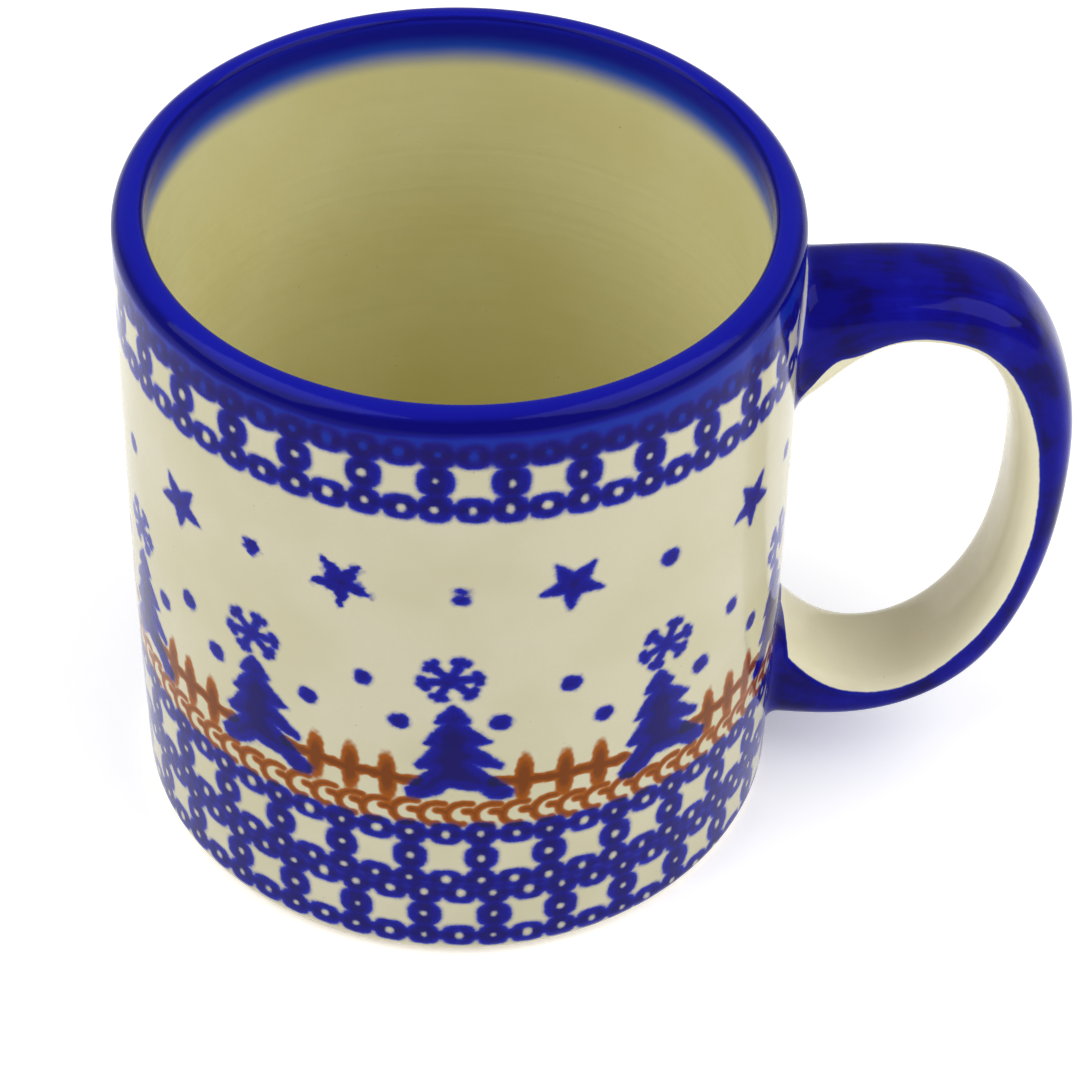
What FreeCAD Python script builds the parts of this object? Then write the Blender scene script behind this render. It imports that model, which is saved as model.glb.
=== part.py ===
"""A handled stoneware mug, in millimetres.

The origin is the centre of the foot, on the table. +Z runs up the cup's axis and +X points
along the handle. The cup stands on a bare foot ring. A thin coat of glaze lies on every other
surface, and a fillet of slip holds each end of the strap handle to the wall.
"""
import FreeCAD, Part

import math
import os

Vector = FreeCAD.Vector

# --- driving dimensions ------------------------------------------------------------------
HEIGHT = 98.8               # table to the top of the lip
RIM_RADIUS = 45.8           # outside, where the lip's rounding starts
BELLY_RADIUS = 46.2         # outside, half way up
BASE_RADIUS = 45.7          # outside, above the foot's rounding
FOOT_ROUNDING = 3.4
FOOT_INNER_RADIUS = 37.0    # inner edge of the ring that the cup stands on
RECESS_DEPTH = 1.6          # hollow under the floor
RECESS_SLOPE = 1.2          # how far the hollow's side leans inwards
LIP_OUTER_ROUNDING = 2.9
LIP_INNER_ROUNDING = 1.4
INNER_BASE_RADIUS = 41.4    # inside, above the floor's corner
INNER_CORNER_RADIUS = 9.0
FLOOR_TOP = 7.0             # table to the floor inside
GLAZE = 0.3                 # thickness of the glaze coat
GLAZE_LINE = 1.2            # the outside glaze stops this far above the table
SECTION_POWER = 2.7         # squareness of the strap's cross-section: 2 is an ellipse
SECTION_POINTS = 16

# Strap stations from the upper join round to the lower one: distance from the cup's axis,
# height, lean of the path below horizontal in degrees, thickness, width.
STRAP = [
    (42.0, 76.5, 0, 23.0, 18.5),
    (47.0, 78.1, 0, 19.8, 17.6),
    (52.0, 80.9, -2, 14.0, 17.0),
    (58.0, 82.9, 0, 9.6, 16.5),
    (65.0, 82.9, 8, 8.9, 16.3),
    (71.9, 80.5, 31, 9.2, 16.2),
    (76.8, 74.7, 55, 8.9, 16.0),
    (79.9, 65.5, 77, 8.7, 16.0),
    (80.8, 54.0, 90, 8.3, 16.0),
    (80.0, 41.9, 103, 7.9, 16.0),
    (77.2, 30.5, 117, 7.7, 16.2),
    (71.9, 21.0, 133, 8.0, 16.4),
    (64.3, 15.2, 152, 7.8, 16.8),
    (56.0, 13.7, 172, 9.5, 17.2),
    (49.0, 15.6, 184, 14.0, 17.8),
    (43.0, 19.0, 186, 20.5, 18.8),
]

# The slip fillet: how far along the strap's root, and how far it stands out from the strap.
SLIP_FILLET = [(0.0, 2.6), (4.6, 2.3), (5.8, 1.1), (7.4, 0.45), (9.4, 0.12)]

LIP_CREST_RADIUS = RIM_RADIUS - LIP_OUTER_ROUNDING
LIP_START = HEIGHT - LIP_OUTER_ROUNDING
REACH = 200.0               # larger than the whole mug, for cutting blocks


# --- the cup's outline -------------------------------------------------------------------
def line(start, end):
    return Part.LineSegment(Vector(start[0], 0, start[1]), Vector(end[0], 0, end[1])).toShape()


def arc_through(start, middle, end):
    points = [Vector(x, 0, z) for x, z in (start, middle, end)]
    return Part.Arc(*points).toShape()


def quarter(centre, radius, from_degrees):
    """A quarter circle that runs anticlockwise from the given angle."""
    angles = [math.radians(from_degrees + step) for step in (0, 45, 90)]
    points = [(centre[0] + radius * math.cos(a), centre[1] + radius * math.sin(a)) for a in angles]
    return arc_through(*points)


def outside_edges(inset):
    """Foot rounding, wall and outer lip, moved into the clay by inset."""
    foot_centre = (BASE_RADIUS - FOOT_ROUNDING, FOOT_ROUNDING)
    crest_centre = (LIP_CREST_RADIUS, LIP_START)
    return [
        quarter(foot_centre, FOOT_ROUNDING - inset, -90),
        arc_through((BASE_RADIUS - inset, FOOT_ROUNDING),
                    (BELLY_RADIUS - inset, HEIGHT / 2),
                    (RIM_RADIUS - inset, LIP_START)),
        quarter(crest_centre, LIP_OUTER_ROUNDING - inset, 0),
    ]


def inside_edges(inset):
    """Inner lip, inner wall, corner and floor, moved into the clay by inset."""
    lip_centre = (LIP_CREST_RADIUS, HEIGHT - LIP_INNER_ROUNDING)
    corner_centre = (INNER_BASE_RADIUS - INNER_CORNER_RADIUS, FLOOR_TOP + INNER_CORNER_RADIUS)
    lip_foot = (LIP_CREST_RADIUS - LIP_INNER_ROUNDING + inset, lip_centre[1])
    wall_foot = (INNER_BASE_RADIUS + inset, corner_centre[1])
    return [
        quarter(lip_centre, LIP_INNER_ROUNDING - inset, 90),
        line(lip_foot, wall_foot),
        quarter(corner_centre, INNER_CORNER_RADIUS + inset, -90),
        line((corner_centre[0], FLOOR_TOP - inset), (0, FLOOR_TOP - inset)),
    ]


def spin(edges):
    """Turns a closed outline in the XZ plane about the cup's axis."""
    face = Part.Face(Part.Wire(Part.__sortEdges__(edges)))
    return face.revolve(Vector(0, 0, 0), Vector(0, 0, 1), 360)


def hollow_cup(inset):
    """The cup with its cavity and its recessed base."""
    recess_top = RECESS_DEPTH + inset
    recess_edge = FOOT_INNER_RADIUS - RECESS_SLOPE
    foot_outer = BASE_RADIUS - FOOT_ROUNDING
    base = [
        line((0, FLOOR_TOP - inset), (0, recess_top)),
        line((0, recess_top), (recess_edge, recess_top)),
        line((recess_edge, recess_top), (FOOT_INNER_RADIUS, inset)),
        line((FOOT_INNER_RADIUS, inset), (foot_outer, inset)),
    ]
    return spin(base + outside_edges(inset) + inside_edges(inset))


def filled_cup(inset):
    """The same outside with no cavity, to trim what is joined to the wall."""
    foot_outer = BASE_RADIUS - FOOT_ROUNDING
    top = HEIGHT - inset
    ends = [
        line((LIP_CREST_RADIUS, top), (0, top)),
        line((0, top), (0, inset)),
        line((0, inset), (foot_outer, inset)),
    ]
    return spin(ends + outside_edges(inset))


# --- the strap handle --------------------------------------------------------------------
def strap_section(station, grow):
    """A rounded-square loop across the strap, grown by a margin all round."""
    radius, height, lean, thickness, width = station
    angle = math.radians(lean)
    outward = Vector(math.sin(angle), 0, math.cos(angle))
    across = Vector(0, 1, 0)
    centre = Vector(radius, 0, height)
    points = []
    for index in range(SECTION_POINTS):
        turn = 2 * math.pi * index / SECTION_POINTS
        side = rounded(math.cos(turn)) * (width / 2 + grow)
        rise = rounded(math.sin(turn)) * (thickness / 2 + grow)
        points.append(centre + across * side + outward * rise)
    curve = Part.BSplineCurve()
    curve.interpolate(Points=points, PeriodicFlag=True)
    return Part.Wire(curve.toShape())


def rounded(value):
    return math.copysign(abs(value) ** (2 / SECTION_POWER), value)


def strap(grow):
    return Part.makeLoft([strap_section(station, grow) for station in STRAP], True, False)


def along_root(stations, distance):
    """The station that lies a given distance out from a root, between its neighbours."""
    for near, far in zip(stations, stations[1:]):
        step = math.hypot(far[0] - near[0], far[1] - near[1])
        if distance <= step:
            share = distance / step
            return tuple(a + (b - a) * share for a, b in zip(near, far))
        distance -= step
    return stations[-1]


def slip_flare(stations):
    """The strap's root swollen by the slip that was smoothed round it."""
    loops = [strap_section(along_root(stations, out), grow) for out, grow in SLIP_FILLET]
    return Part.makeLoft(loops, True, False)


# --- every piece -------------------------------------------------------------------------
def glaze_zones():
    """The blocks of space that hold the outside, the inside and the underside glaze."""
    outside = Part.makeCylinder(REACH, REACH, Vector(0, 0, GLAZE_LINE))
    outside = outside.cut(Part.makeCylinder(LIP_CREST_RADIUS, REACH, Vector(0, 0, FLOOR_TOP)))
    outside = outside.cut(Part.makeCylinder(FOOT_INNER_RADIUS, REACH, Vector(0, 0, 0)))
    inside = Part.makeCylinder(LIP_CREST_RADIUS, REACH, Vector(0, 0, FLOOR_TOP / 2))
    recess_edge = FOOT_INNER_RADIUS - RECESS_SLOPE
    under = Part.makeCylinder(recess_edge - GLAZE, FLOOR_TOP / 2, Vector(0, 0, 0))
    return outside, inside, under


def build():
    form = hollow_cup(0)
    clay = hollow_cup(GLAZE)
    coat = form.cut(clay)
    outside, inside, under = glaze_zones()

    wall_surface = filled_cup(GLAZE)
    strap_core = strap(-GLAZE).cut(wall_surface)
    upper_flare = slip_flare(STRAP)
    lower_flare = slip_flare(STRAP[::-1])

    pieces = {
        "inner_glaze": coat.common(inside),
        "base_glaze": coat.common(under),
    }
    full_outer_glaze = coat.common(outside)
    body = form.cut(full_outer_glaze)
    for name in ("inner_glaze", "base_glaze"):
        body = body.cut(pieces[name])
    pieces["cup_body"] = body
    pieces["handle"] = strap_core
    pieces["upper_luting_slip"] = upper_flare.cut(wall_surface).cut(strap_core)
    pieces["lower_luting_slip"] = lower_flare.cut(wall_surface).cut(strap_core)
    joins = upper_flare.fuse(lower_flare)
    pieces["outer_glaze"] = full_outer_glaze.cut(joins)
    strap_skin = strap(0).cut(filled_cup(0)).cut(strap_core)
    pieces["handle_glaze"] = strap_skin.cut(joins)
    return pieces


def largest_solid(shape):
    return max(shape.Solids, key=lambda solid: solid.Volume)


def main():
    os.makedirs("parts", exist_ok=True)
    for name, shape in build().items():
        solid = largest_solid(shape)
        print(name, "solids", len(shape.Solids), "valid", solid.isValid(),
              "mm3", round(solid.Volume, 1), "of", round(shape.Volume, 1))
        solid.exportStep(f"parts/{name}.step")


main()
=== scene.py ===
"""A handled stoneware mug with a painted winter border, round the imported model."""
import math

import bpy
import numpy as np
from mathutils import Matrix, Vector


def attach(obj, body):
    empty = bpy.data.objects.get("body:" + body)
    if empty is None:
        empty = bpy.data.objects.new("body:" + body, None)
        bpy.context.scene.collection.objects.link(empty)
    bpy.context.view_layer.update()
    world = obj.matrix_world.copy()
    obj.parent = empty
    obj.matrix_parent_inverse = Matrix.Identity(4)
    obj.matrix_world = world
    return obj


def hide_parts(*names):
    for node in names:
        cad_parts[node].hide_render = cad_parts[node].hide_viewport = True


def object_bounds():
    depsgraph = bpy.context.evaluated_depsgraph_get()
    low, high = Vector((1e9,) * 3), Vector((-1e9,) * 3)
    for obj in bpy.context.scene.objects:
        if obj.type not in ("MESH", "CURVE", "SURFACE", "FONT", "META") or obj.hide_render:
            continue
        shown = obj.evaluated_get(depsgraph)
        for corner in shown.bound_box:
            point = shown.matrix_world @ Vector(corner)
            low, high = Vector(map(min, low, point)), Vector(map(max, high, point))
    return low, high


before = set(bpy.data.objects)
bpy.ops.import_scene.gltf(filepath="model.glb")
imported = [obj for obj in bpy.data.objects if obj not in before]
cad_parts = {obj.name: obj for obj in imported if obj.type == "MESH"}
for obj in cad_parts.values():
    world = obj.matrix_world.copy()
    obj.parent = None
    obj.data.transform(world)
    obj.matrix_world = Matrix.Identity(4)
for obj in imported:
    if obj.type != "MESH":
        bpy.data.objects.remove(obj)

cad_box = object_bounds()
MM = 0.001
random = np.random.default_rng(11)

# --- the cup's outline, in millimetres, as in the CAD ------------------------------------
HEIGHT = cad_box[1][2] / MM
RIM_RADIUS = 45.8
BELLY_RADIUS = 46.2
BASE_RADIUS = 45.7
FOOT_ROUNDING = 3.4
GLAZE_LINE = 1.2
LIP_OUTER_ROUNDING = 2.9
LIP_INNER_ROUNDING = 1.4
LIP_CREST_RADIUS = RIM_RADIUS - LIP_OUTER_ROUNDING
LIP_START = HEIGHT - LIP_OUTER_ROUNDING
INNER_BASE_RADIUS = 41.4
INNER_CORNER_RADIUS = 9.0
FLOOR_TOP = 7.0

# --- the strap handle, in millimetres, as in the CAD -------------------------------------
SECTION_POWER = 2.7
# Distance from the cup's axis, height, lean below horizontal in degrees, thickness, width.
STRAP = [
    (42.0, 76.5, 0, 23.0, 18.5),
    (47.0, 78.1, 0, 19.8, 17.6),
    (52.0, 80.9, -2, 14.0, 17.0),
    (58.0, 82.9, 0, 9.6, 16.5),
    (65.0, 82.9, 8, 8.9, 16.3),
    (71.9, 80.5, 31, 9.2, 16.2),
    (76.8, 74.7, 55, 8.9, 16.0),
    (79.9, 65.5, 77, 8.7, 16.0),
    (80.8, 54.0, 90, 8.3, 16.0),
    (80.0, 41.9, 103, 7.9, 16.0),
    (77.2, 30.5, 117, 7.7, 16.2),
    (71.9, 21.0, 133, 8.0, 16.4),
    (64.3, 15.2, 152, 7.8, 16.8),
    (56.0, 13.7, 172, 9.5, 17.2),
    (49.0, 15.6, 184, 14.0, 17.8),
    (43.0, 19.0, 186, 20.5, 18.8),
]
FILLET_REACH = 2.0          # how far out along the strap the fillet at the wall starts
FILLET_SPREAD = 1.8         # how far it runs out over the wall
PAINT_BORDER = 2.4          # cream shoulder left above the strap's inner face
BORDER_SWELL = 1.4          # how much wider that shoulder is half way down
SWELL_AT, SWELL_WIDTH = 66.0, 20.0      # along the strap from the upper root
ROOT_SWELL = 3.6            # and how much wider it is just past the upper root
ROOT_SWELL_AT, ROOT_SWELL_WIDTH = 6.5, 4.0
UPPER_MARGIN = 1.5          # ground left bare at the upper root
BARE_ABOVE = 79.0           # the height at which that bare ground starts
BARE_FADE = 3.0             # and how much higher it reaches its full width
LOWER_MARGIN = 0.3          # ground left bare at the lower root
LOWER_BAND = 2.8            # paint along the wall there
LOWER_COLLAR = 2.4          # and how much further it runs on the strap's sides
HANDLE_COLUMNS = 132        # points round the strap
STRAP_STEPS = 700           # sections worked out along it
STRAP_ROWS = 270            # rows kept between the two fillets
FILLET_ROWS = 9             # rows in each fillet

RIM_COAT_END = 87.0         # height inside where the rim's coat meets the lining

# --- the painted border, in millimetres of arc and height --------------------------------
PATTERN_RADIUS = 45.0
ROUND = 2 * math.pi * PATTERN_RADIUS
COLUMNS = 1080              # points round the wall
DIP = 2.8                   # the stamps sit this much lower beside the handle
DIP_AT = math.radians(75)
DIP_WIDTH = math.radians(50)

BAND_BREAKS = (27.6, 62.0, 80.5)        # heights where one ring mesh meets the next
UNPAINTED = -4.0            # depth given where no mark reaches
FAR_FROM_LIP = -40.0        # distance past the lip given to the rings below the rim's
COLOUR_FIELDS = ("blue", "blue_twice", "rust", "rust_twice")

REPEATS = 10                # trees round the wall, and each other single mark
# Arc and height of the marks on the side that faces the camera, counted from the left.
TREES = [(-53.8, 33.7), (-27.8, 33.7), (-0.5, 33.7), (28.8, 31.6), (56.5, 30.8)]
FLAKES = [(-53.8, 55.4), (-28.2, 55.1), (-0.9, 55.1), (28.7, 53.2), (56.2, 51.7)]
STARS = [(-40.8, 70.0), (-14.9, 70.2), (14.6, 70.1), (44.9, 67.9)]
HIGH_DOTS = [(-54.8, 69.4), (-27.6, 70.8), (0.4, 69.9), (28.6, 68.8)]
MIDDLE_DOTS = [(-40.1, 53.1), (-12.2, 54.1), (14.8, 52.4), (41.3, 51.7)]
LEFT_DOTS = [(-46.7, 47.7), (-19.9, 48.0), (5.6, 47.1), (35.3, 45.2)]
RIGHT_DOTS = [(-34.8, 47.5), (-7.5, 47.1), (19.6, 45.0), (47.2, 44.0)]
PICKETS = [(-45.4, 37.0), (-41.1, 36.8), (-36.3, 36.7), (-19.1, 36.9), (-14.2, 36.7),
           (-9.2, 36.2), (8.7, 36.0), (14.3, 35.5), (19.2, 35.3), (37.6, 34.1), (42.3, 33.8),
           (47.1, 33.4)]
# Even heights of the marks on the far side, and where its pickets stand between two trees.
FAR_TREE, FAR_FLAKE, FAR_STAR = 33.9, 55.5, 70.0
FAR_HIGH_DOT, FAR_MIDDLE_DOT, FAR_LEFT_DOT, FAR_RIGHT_DOT = 69.8, 53.8, 48.0, 47.6
FAR_FENCE_HEIGHT = 36.8
FAR_PICKET_SHARES = (0.31, 0.49, 0.67)
RAIL_HALF = 1.1
PICKET_HALF = (1.35, 4.9)
# The right and left edges of a tree from its top down, measured from the middle of its base.
TREE_RIGHT = [(-0.6, 17.0), (0.6, 15.9), (1.8, 14.2), (1.0, 13.4), (3.0, 11.7), (4.5, 10.3),
              (2.4, 9.3), (4.3, 7.6), (6.3, 5.8), (6.0, 5.1), (2.5, 5.9), (5.2, 3.1), (7.9, 0.7),
              (7.6, -0.6), (5.3, -0.8), (3.4, 0.9), (1.6, 1.1)]
TREE_LEFT = [(-0.9, 16.6), (-2.3, 14.8), (-2.7, 13.7), (-1.6, 13.4), (-3.1, 11.4), (-4.1, 9.5),
             (-2.8, 9.2), (-3.8, 7.3), (-5.2, 5.3), (-4.8, 4.8), (-3.1, 4.6), (-5.2, 1.9),
             (-6.4, 0.3), (-6.0, -0.9), (-4.7, -1.2), (-2.4, -0.3), (-0.7, 1.4)]
TREE_ROUNDING = 0.3
CORE_RISE = 8.2             # the darker middle of a tree, above its base
CORE_HALF = (1.8, 6.0)
FLAKE_ARM = 4.2
FLAKE_LOBE_BACK = 0.75      # the lobes stop this far short of the arm's end
FLAKE_HUB = 1.55
FLAKE_STROKES = (0.76, 0.74, 0.66)      # half widths of an arm, its lobes and its tip
FLAKE_TURNS = [2, 63, 131, 188, 239, 313]
STAR_OUTER = 4.5
STAR_INNER = 2.15
STAR_ROUNDING = 0.35
DOT_RADIUS = 1.4
DOT_POWER = 2.2             # squareness of a dot and of a picket
SCROLLS = 76                # curls round the wall
SCROLL_HEIGHT = 30.1
SCROLL_STROKE = 0.7
TICK_EXTRA = 0.08
BAD_STARS = (1, 6)          # the stars and the high dot that were printed badly
BAD_DOT = 1
SPLIT_DOT = 2               # the high dot that was printed as two dabs
LOWER_DAB, LOWER_DAB_DROP = (1.2, 1.0), 0.55
UPPER_DAB, UPPER_DAB_RISE, UPPER_DAB_ASIDE = (1.0, 0.6), 0.95, 0.1
# How far from its place each stamp is worked out, and how uneven its edge is.
REACH = {"rail": 13.0, "picket": 7.0, "curl": 5.0, "tree": 22.0, "core": 9.0, "flake": 6.0,
         "star": 6.0, "dot": 3.0, "bead": 4.0}
EDGE = {"rail": 0.12, "picket": 0.06, "tree": 0.08, "core": 0.25, "flake": 0.07, "star": 0.08,
        "bad_star": 0.3, "dot": 0.09, "bad_dot": 0.26, "lower_dab": 0.1}

# Half width, half height and squareness of the beads between two voids, at their corners and
# above them.
MIDDLE_BEAD = (2.42, 2.58, 2.5)
CORNER_BEAD = (2.28, 2.28, 2.9)
BETWEEN_BEAD = (2.36, 2.14, 3.0)
MIDDLE_HOLE, CORNER_HOLE, BETWEEN_HOLE = 0.95, 0.85, 1.15
ROW_BAR = 1.05              # half width of the paint that joins the beads along a row
COLUMN_BAR = 1.35           # and up a column
# Height where the thin blue wash under the rim begins and where it is full.
WASH_EDGE = (91.4, 92.9)
# Each chain of beads: its number of columns, the arc of one column, and the heights of its rows.
CHAINS = {
    "upper": (31, -2.7, (93.7, 89.4, 85.0)),
    "middle": (30, 3.2, (26.0, 21.3, 16.7)),
    "lower": (30, 5.0, (14.0, 9.4, 5.0)),
}


# --- mesh building -----------------------------------------------------------------------
MAP_GAP, MAP_FILL = 0.01, 0.98          # the map's margin below a strip, and the part it fills
MAP_SIDE, MAP_WIDTH = 0.005, 0.99       # and the same across


def fold_map(mesh, row, column, per_strip, strips):
    """A grid's map, folded into strips one above the other so that a long ring fills a square."""
    strip = np.floor(column / per_strip)
    left = (column - strip * per_strip) / per_strip
    width = 1 / per_strip
    low = (strip + MAP_GAP + MAP_FILL * row / len(row)) / strips
    high = (strip + MAP_GAP + MAP_FILL * (row + 1) / len(row)) / strips
    u = np.stack([left, left + width, left + width, left], axis=-1) * MAP_WIDTH + MAP_SIDE
    v = np.stack([low, low, high, high], axis=-1)
    layer = mesh.uv_layers.new(name="OFBake")
    layer.data.foreach_set("uv", np.stack([u, v], axis=-1).astype(np.float32).reshape(-1))


def grid_piece(name, points, fields, strips, closed=True):
    """A quad grid from points[row, column] in millimetres, with a number field on each point."""
    rows, columns = points.shape[:2]
    across = columns if closed else columns - 1
    row, column = np.meshgrid(np.arange(rows - 1), np.arange(across), indexing="ij")
    right = (column + 1) % columns
    corners = np.stack([row * columns + column, row * columns + right,
                        (row + 1) * columns + right, (row + 1) * columns + column], axis=-1)
    corners = corners.reshape(-1)
    faces = row.size

    mesh = bpy.data.meshes.new(name)
    mesh.vertices.add(rows * columns)
    mesh.vertices.foreach_set("co", (points * MM).astype(np.float32).reshape(-1))
    mesh.loops.add(faces * 4)
    mesh.loops.foreach_set("vertex_index", corners.astype(np.int32))
    mesh.polygons.add(faces)
    mesh.polygons.foreach_set("loop_start", np.arange(0, faces * 4, 4, dtype=np.int32))
    mesh.polygons.foreach_set("use_smooth", np.ones(faces, dtype=bool))
    mesh.update(calc_edges=True)
    fold_map(mesh, row, column, across / strips, strips)

    for field, values in fields.items():
        data = mesh.attributes.new(field, "FLOAT", "POINT").data
        data.foreach_set("value", np.asarray(values, dtype=np.float32).reshape(-1))
    piece = bpy.data.objects.new(name, mesh)
    bpy.context.scene.collection.objects.link(piece)
    return piece


# --- the cup's outline -------------------------------------------------------------------
def circle_through(a, b, c):
    """Centre and radius of the circle through three points."""
    matrix = np.array([[b[0] - a[0], b[1] - a[1]], [c[0] - a[0], c[1] - a[1]]]) * 2
    squares = [sum(q * q for q in p) - sum(q * q for q in a) for p in (b, c)]
    centre = np.linalg.solve(matrix, squares)
    return centre, math.hypot(*(centre - np.array(a)))


SLOW_WAVER, QUICK_WAVER = 0.05, 0.03    # how far the wall wanders in and out
WAVER_FROM = 20.0           # nearer to the axis than this, the waver dies away
WALL_CENTRE, WALL_CURVE = circle_through((BASE_RADIUS, FOOT_ROUNDING), (BELLY_RADIUS, HEIGHT / 2),
                                         (RIM_RADIUS, LIP_START))


def wall_radius(height):
    return WALL_CENTRE[0] + np.sqrt(WALL_CURVE ** 2 - (height - WALL_CENTRE[1]) ** 2)


def arc_rows(centre, radius, start, end, spacing):
    """Points along an arc, without its last one, from one angle in degrees to another."""
    count = max(2, round(abs(math.radians(end - start)) * radius / spacing))
    angles = np.radians(np.linspace(start, end, count, endpoint=False))
    return np.stack([centre[0] + radius * np.cos(angles), centre[1] + radius * np.sin(angles)], -1)


def wall_rows(low, high, spacing):
    heights = np.linspace(low, high, round((high - low) / spacing) + 1)
    return np.stack([wall_radius(heights), heights], -1)


def straight_rows(start, end, spacing):
    count = round(math.dist(start, end) / spacing) + 1
    return np.linspace(start, end, count)


def lathe(outline, columns):
    """Points of the outline turned about the cup's axis, with a slight hand-made waver."""
    turn = np.arange(columns) * 2 * math.pi / columns
    radius, height = outline[:, :1], outline[:, 1:]
    waver = SLOW_WAVER * np.sin(2 * turn + 0.6) + QUICK_WAVER * np.sin(5 * turn + height / 14)
    radius = radius + waver * np.clip(radius / WAVER_FROM, 0, 1)
    return np.stack([radius * np.sin(turn), -radius * np.cos(turn), height + 0 * turn], axis=-1)


# --- the stamps --------------------------------------------------------------------------
def wrapped(arc):
    return (arc + ROUND / 2) % ROUND - ROUND / 2


def dip(arc):
    """How far the stamps sit below their even height at this arc."""
    away = wrapped(arc - DIP_AT * PATTERN_RADIUS) / PATTERN_RADIUS
    return DIP * np.exp(-(away / DIP_WIDTH) ** 2)


def turned(x, y, degrees):
    cosine, sine = math.cos(math.radians(degrees)), math.sin(math.radians(degrees))
    return cosine * x + sine * y, cosine * y - sine * x


def from_segment(x, y, start, end):
    """Distance from the segment between two points."""
    along = np.array(end) - np.array(start)
    share = ((x - start[0]) * along[0] + (y - start[1]) * along[1]) / (along @ along)
    share = np.clip(share, 0, 1)
    return np.hypot(x - start[0] - share * along[0], y - start[1] - share * along[1])


def oval_depth(half_width, half_height, power):
    def depth(x, y):
        size = (np.abs(x / half_width) ** power + np.abs(y / half_height) ** power) ** (1 / power)
        return (1 - size) * min(half_width, half_height)
    return depth


def stroke_depth(points, half_width):
    def depth(x, y):
        nearest = [from_segment(x, y, a, b) for a, b in zip(points, points[1:])]
        return half_width - np.minimum.reduce(nearest)
    return depth


def outline_depth(corners, rounding):
    """A closed outline, grown by rounding so that its corners are soft."""
    def depth(x, y):
        x, y = np.broadcast_arrays(x, y)
        nearest = np.full(x.shape, 99.0)
        inside = np.zeros(x.shape, dtype=bool)
        for start, end in zip(corners, corners[1:] + corners[:1]):
            nearest = np.minimum(nearest, from_segment(x, y, start, end))
            rise = end[1] - start[1]
            if rise:
                reach = start[0] + (end[0] - start[0]) * (y - start[1]) / rise
                inside ^= ((start[1] > y) != (end[1] > y)) & (x < reach)
        return np.where(inside, nearest, -nearest) + rounding
    return depth


def leaning(shape, degrees, size=1.0):
    def depth(x, y):
        x, y = turned(x, y, degrees)
        return shape(x / size, y / size) * size
    return depth


def uneven(shape, amount):
    """The shape with its edge pushed in and out, as a soft stamp prints it."""
    shift = random.uniform(0, 2 * math.pi, 4)

    def depth(x, y):
        ripple = np.sin(2.3 * x + 1.1 * y + shift[0]) * np.sin(1.9 * y - 0.8 * x + shift[1])
        ripple = ripple + 0.7 * np.sin(4.1 * x + shift[2]) * np.sin(4.6 * y + shift[3])
        return shape(x, y) + amount * (ripple - 0.15)
    return depth


def tree_depth():
    return outline_depth(TREE_RIGHT + TREE_LEFT[::-1], TREE_ROUNDING)


def flake_depth():
    """Six arms, each ending in two lobes."""
    arm_half, lobe_half, tip_half = FLAKE_STROKES
    reach = FLAKE_ARM - FLAKE_LOBE_BACK

    def depth(x, y):
        deepest = FLAKE_HUB - np.hypot(x, y)
        for angle in FLAKE_TURNS:
            along, aside = turned(x, y, angle)
            arm = arm_half - from_segment(along, aside, (0, 0), (reach, 0))
            lobes = lobe_half - from_segment(along, aside, (reach + 0.1, -0.65),
                                             (reach - 0.1, 0.75))
            tip = tip_half - from_segment(along, aside, (reach - 0.4, 0.0),
                                          (FLAKE_ARM - 0.4, 0.1))
            deepest = np.maximum(deepest, np.maximum(arm, np.maximum(lobes, tip)))
        return deepest
    return depth


def star_depth():
    corners = []
    for index in range(10):
        radius = (STAR_OUTER if index % 2 == 0 else STAR_INNER) - STAR_ROUNDING
        angle = math.radians(-90 + 36 * index)
        corners.append((radius * math.cos(angle), radius * math.sin(angle)))
    return outline_depth(corners, STAR_ROUNDING)


def scroll_depth():
    """A slanted crescent that opens to the right, with a short tick on its back."""
    curl = [(2.1, 2.0), (1.1, 2.1), (0.0, 1.8), (-0.9, 1.0), (-1.3, 0.0), (-1.2, -1.0),
            (-0.7, -1.8), (0.2, -2.3), (1.0, -2.2)]
    tick = [(-1.3, 0.0), (-1.9, 0.5), (-2.6, 0.5)]
    curl_part = stroke_depth(curl, SCROLL_STROKE)
    tick_part = stroke_depth(tick, SCROLL_STROKE + TICK_EXTRA)
    return lambda x, y: np.maximum(curl_part(x, y), tick_part(x, y))


class Painting:
    """How far each point of a patch of wall lies inside each colour, in millimetres."""

    def __init__(self, outline):
        turn = np.arange(COLUMNS) * 2 * math.pi / COLUMNS
        self.arc = turn * PATTERN_RADIUS
        self.height = outline[:, 1:] + dip(self.arc)
        shape = self.height.shape
        self.fields = {name: np.full(shape, UNPAINTED) for name in COLOUR_FIELDS}
        self.fields["hole"] = np.full(shape, -UNPAINTED)

    def local(self, at, reach):
        """The patch round a point, and the distances from it."""
        across = wrapped(self.arc - at[0])
        columns = np.flatnonzero(np.abs(across) < reach)
        rows = np.flatnonzero((np.abs(self.height[:, columns] - at[1]) < reach).any(axis=1))
        patch = np.ix_(rows, columns)
        return patch, across[columns][None, :], self.height[patch] - at[1]

    def stamp(self, colour, at, reach, shape):
        patch, x, y = self.local(at, reach)
        if not patch[0].size:
            return
        depth = shape(x, y)
        below = self.fields[colour][patch]
        twice = self.fields[colour + "_twice"]
        twice[patch] = np.maximum(twice[patch], np.minimum(below, depth))
        self.fields[colour][patch] = np.maximum(below, depth)

    def leave_hole(self, at, half):
        patch, x, y = self.local(at, REACH["bead"])
        if patch[0].size:
            gap = -oval_depth(*half, 2.0)(x, y)
            self.fields["hole"][patch] = np.minimum(self.fields["hole"][patch], gap)


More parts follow.
